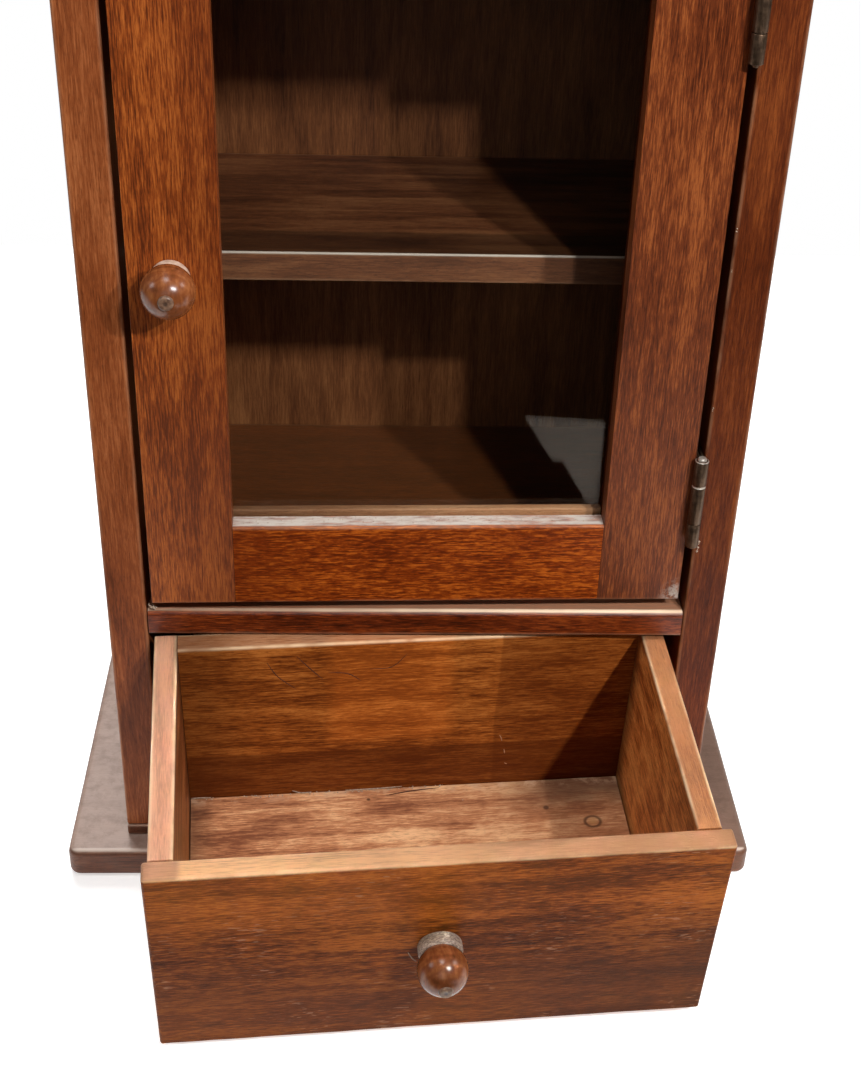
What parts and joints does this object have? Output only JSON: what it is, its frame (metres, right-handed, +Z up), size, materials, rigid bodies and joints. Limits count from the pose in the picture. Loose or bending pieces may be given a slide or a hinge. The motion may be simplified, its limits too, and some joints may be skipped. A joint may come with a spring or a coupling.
{
  "type": "tabletop display cabinet",
  "caption": "Tabletop display cabinet in stained wood: glazed hinged door over a shelf, loose drawer below that slides out and droops, wide plinth and top.",
  "frame": {"origin": "centre of the plinth's underside, on the surface the cabinet stands on", "axes": "+X to the right as seen from the front, +Y to the back, +Z up; the door and the drawer face -Y"},
  "size_m": [0.3606, 0.3525, 0.5471],
  "materials": {
    "carcase_wood": "dark reddish-brown stain, satin lacquer",
    "inner_wood": "dark brown stain, dull",
    "door_wood": "reddish-brown stain, satin lacquer",
    "door_glass": "clear flat glass",
    "drawer_front_wood": "warm reddish-brown stain, satin lacquer, worn edges",
    "drawer_box_wood": "orange-brown stain, rubbed and dusty",
    "knob_wood": "lighter brown, glossy",
    "hinge_metal": "antique dark bronze with worn bright edges",
    "plain_steel": "plain steel"
  },
  "bodies": {
    "carcase": {"plinth": "carcase_wood", "top_board": "carcase_wood", "left_foot": "carcase_wood", "right_foot": "carcase_wood", "left_side": "carcase_wood", "right_side": "carcase_wood", "cabinet_floor": "carcase_wood", "carcase_lid": "carcase_wood", "back_panel": "inner_wood", "shelf": "inner_wood", "left_runner": "inner_wood", "right_runner": "inner_wood", "drawer_stop": "inner_wood", "left_front_shelf_peg": "knob_wood", "left_rear_shelf_peg": "knob_wood", "right_front_shelf_peg": "knob_wood", "right_rear_shelf_peg": "knob_wood", "lower_hinge_pin": "hinge_metal", "upper_hinge_pin": "hinge_metal", "lower_frame_leaf": "hinge_metal", "upper_frame_leaf": "hinge_metal", "lower_frame_screw_1": "hinge_metal", "lower_frame_screw_2": "hinge_metal", "upper_frame_screw_1": "hinge_metal", "upper_frame_screw_2": "hinge_metal", "magnet_catch": "plain_steel", "left_low_back_screw": "plain_steel", "left_middle_back_screw": "plain_steel", "left_high_back_screw": "plain_steel", "right_low_back_screw": "plain_steel", "right_middle_back_screw": "plain_steel", "right_high_back_screw": "plain_steel"},
    "door": {"left_stile": "door_wood", "right_stile": "door_wood", "top_rail": "door_wood", "bottom_rail": "door_wood", "glass_pane": "door_glass", "left_bead": "door_wood", "right_bead": "door_wood", "top_bead": "door_wood", "bottom_bead": "door_wood", "lower_door_leaf": "hinge_metal", "upper_door_leaf": "hinge_metal", "lower_door_screw_1": "hinge_metal", "lower_door_screw_2": "hinge_metal", "upper_door_screw_1": "hinge_metal", "upper_door_screw_2": "hinge_metal", "strike_plate": "plain_steel", "door_knob": "knob_wood", "door_knob_screw": "plain_steel"},
    "drawer_pivot": {"pivot_nail": "plain_steel"},
    "drawer": {"drawer_front": "drawer_front_wood", "drawer_left_side": "drawer_box_wood", "drawer_right_side": "drawer_box_wood", "drawer_back": "drawer_box_wood", "drawer_bottom": "drawer_box_wood", "drawer_knob": "knob_wood", "drawer_knob_screw": "plain_steel"}
  },
  "joints": [
    {"name": "door_hinge", "type": "hinge", "parent": "carcase", "child": "door", "pos_m": [0.1292, -0.09455, 0.169], "axis": [0, 0, 1], "range_deg": [-1.3, 168]},
    {"name": "drawer_slide", "type": "slide", "parent": "carcase", "child": "drawer_pivot", "axis": [0, -1, 0], "range_m": [-0.11495, 0]},
    {"name": "drawer_droop", "type": "hinge", "parent": "drawer_pivot", "child": "drawer", "pos_m": [0.1184, -0.0795, 0.03541], "axis": [0.8751, 0, 0.4839], "range_deg": [-8.95, 0]}
  ],
  "couplings": [
    {"joint": "drawer_droop", "follows": "drawer_slide", "rad_per_m": 1.3585}
  ]
}
